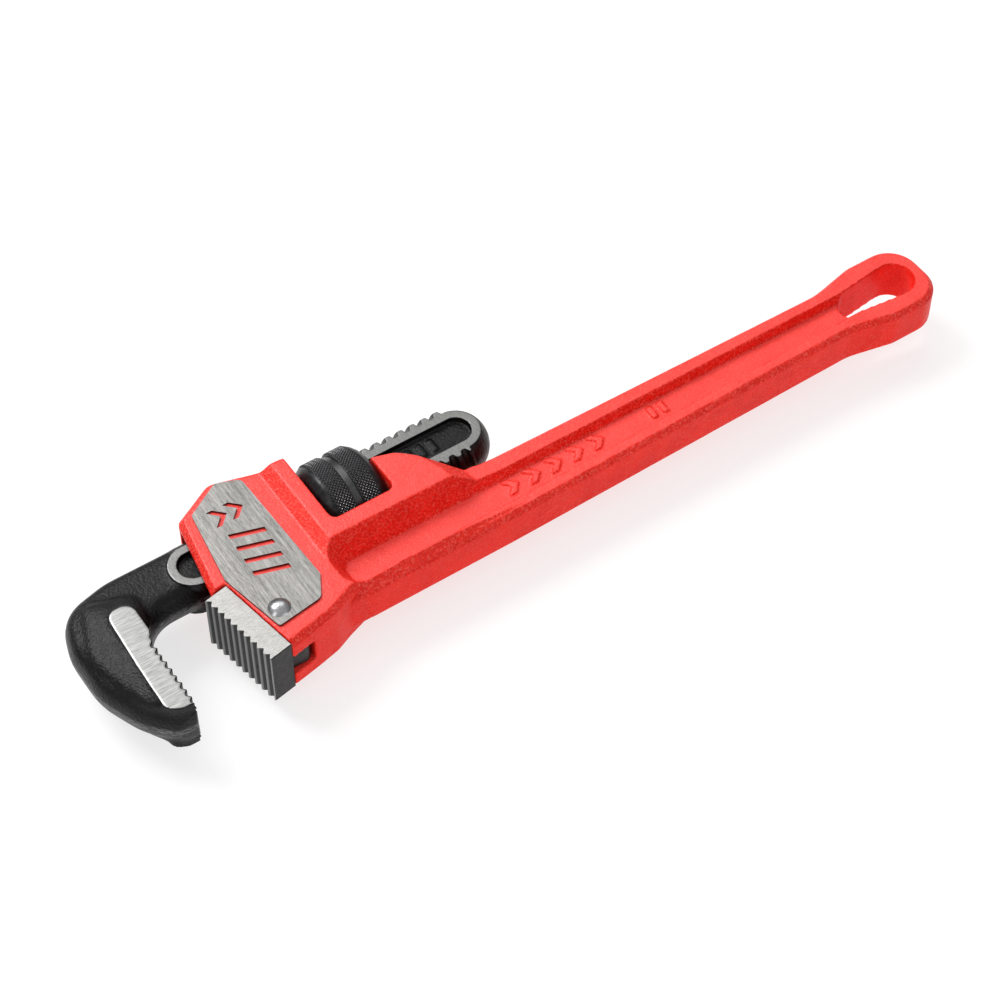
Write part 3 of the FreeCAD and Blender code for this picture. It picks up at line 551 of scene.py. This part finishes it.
def nut_rows():
    """Rings of points over the outside, then back through the threaded bore."""
    angle = np.arange(AROUND) / AROUND * 2 * math.pi
    rows = []
    for x, radius, start, end in nut_profile():
        radii = np.full(AROUND, radius)
        if end > start:
            radii -= KNURL_DEPTH * knurl_depth(np.full(AROUND, x), angle, start, end)
        rows.append(ring_points(x, radii, angle))
    steps = 110
    for i in range(steps + 1):
        x = NUT_BACK + (NUT_FRONT - NUT_BACK) * i / steps
        phase = ((x - VALLEY_X) / PITCH - angle / (2 * math.pi)) % 1.0
        away = np.abs(((phase + 0.5) % 1.0) - 0.5) * PITCH
        cut = np.clip((VALLEY_HALF - away) / VALLEY_SIDE, 0, 1)
        rows.append(ring_points(x, BORE_R + (VALLEY_R - BORE_R) * cut, angle))
    return rows


def make_nut():
    rows = nut_rows()
    faces = []
    for i in range(len(rows)):
        a, b = i * AROUND, ((i + 1) % len(rows)) * AROUND
        for j in range(AROUND):
            k = (j + 1) % AROUND
            faces.append((a + j, b + j, b + k, a + k))
    obj = add_mesh("nut_knurled", np.concatenate(rows).tolist(), faces)
    fixed = bmesh.new()
    fixed.from_mesh(obj.data)
    bmesh.ops.remove_doubles(fixed, verts=fixed.verts, dist=0.001 * MM)
    bmesh.ops.recalc_face_normals(fixed, faces=fixed.faces)
    fixed.to_mesh(obj.data)
    fixed.free()
    smooth_by_angle(obj, 38)
    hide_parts("adjusting_nut")
    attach(obj, "nut")
    repaint(obj, black_nut())


def make_coil(material):
    """The coil is pressed together as the hook jaw rocks, so it is a piece of its own."""
    obj = copy_of("coil_spring", "coil_wire")
    smooth_by_angle(obj, 40)
    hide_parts("coil_spring")
    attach(obj, "frame")
    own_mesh(obj)
    repaint(obj, material)


# ---- all the pieces --------------------------------------------------------------------------

make_housing()
make_hook()
make_nut()
cad_finish("heel_jaw", heel_steel())
cad_finish("heel_jaw_pin", polished_pin())
plate = brushed_plate()
cad_finish("badge_plate_top", plate)
cad_finish("badge_plate_bottom", plate)
steel = spring_steel()
cad_finish("flat_spring", steel)
make_coil(steel)


# ---- floor, light and camera ---------------------------------------------------------------

def make_floor():
    """Pale surface that gives off some light itself, so that shadows stay faint."""
    half = 3.0
    corners = [(-half, -half, 0), (half, -half, 0), (half, half, 0), (-half, half, 0)]
    floor = add_mesh("floor", corners, [(0, 1, 2, 3)])
    p = Paint("floor_pale")
    p.finish(color=p.mix(p.noise(40.0), (0.30, 0.30, 0.30), (0.32, 0.32, 0.32)), rough=0.9)
    p.shader.inputs["Emission Color"].default_value = (1, 1, 1, 1)
    p.shader.inputs["Emission Strength"].default_value = 0.70
    repaint(floor, p.material)


def add_light(name, place, target, size, watts):
    data = bpy.data.lights.new(name, "AREA")
    data.shape = "RECTANGLE"
    data.size, data.size_y = size
    data.energy = watts
    lamp = bpy.data.objects.new(name, data)
    lamp.location = place
    lamp.rotation_mode = "QUATERNION"
    lamp.rotation_quaternion = (Vector(target) - Vector(place)).to_track_quat("-Z", "Y")
    bpy.context.scene.collection.objects.link(lamp)


def make_world():
    """White sky that fades towards the horizon."""
    world = bpy.data.worlds.new("studio")
    world.use_nodes = True
    tree = world.node_tree
    sky = tree.nodes["Background"]
    sky.inputs["Color"].default_value = (1, 1, 1, 1)
    place = tree.nodes.new("ShaderNodeTexCoord")
    split = tree.nodes.new("ShaderNodeSeparateXYZ")
    fade = tree.nodes.new("ShaderNodeMapRange")
    fade.inputs["From Min"].default_value = 0.1
    fade.inputs["From Max"].default_value = 0.9
    fade.inputs["To Min"].default_value = 0.16
    fade.inputs["To Max"].default_value = 0.62
    tree.links.new(place.outputs["Generated"], split.inputs[0])
    tree.links.new(split.outputs[2], fade.inputs["Value"])
    tree.links.new(fade.outputs[0], sky.inputs["Strength"])
    bpy.context.scene.world = world


def make_lights():
    middle = (0, 0, MID_Z)
    add_light("key", (-0.35, 0.75, 1.0), middle, (0.6, 0.6), 13)
    add_light("top", (0.46, 0.68, 1.03), middle, (0.9, 0.9), 3.4)
    add_light("left", (-1.0, -0.2, 0.55), middle, (0.4, 0.8), 1.6)
    add_light("front", (0.15, -1.1, 0.45), middle, (1.0, 0.4), 2.5)


CAMERA_TURN = math.radians(34.0)
CAMERA_RISE = math.radians(51.5)
CAMERA_FAR = 0.850
CAMERA_LENS = 93.33
CAMERA_AIM = Vector((-14.7 * MM, -14.8 * MM, MID_Z))


def make_camera():
    data = bpy.data.cameras.new("camera")
    data.lens = CAMERA_LENS
    data.sensor_width = 36.0
    data.clip_start, data.clip_end = 0.01, 20.0
    camera = bpy.data.objects.new("camera", data)
    look = Vector((math.sin(CAMERA_TURN) * math.cos(CAMERA_RISE),
                   math.cos(CAMERA_TURN) * math.cos(CAMERA_RISE), -math.sin(CAMERA_RISE)))
    camera.location = CAMERA_AIM - look * CAMERA_FAR
    camera.rotation_mode = "QUATERNION"
    camera.rotation_quaternion = look.to_track_quat("-Z", "Y")
    bpy.context.scene.collection.objects.link(camera)
    bpy.context.scene.camera = camera


make_floor()
make_world()
make_lights()
make_camera()
bpy.context.scene.view_settings.view_transform = "Standard"
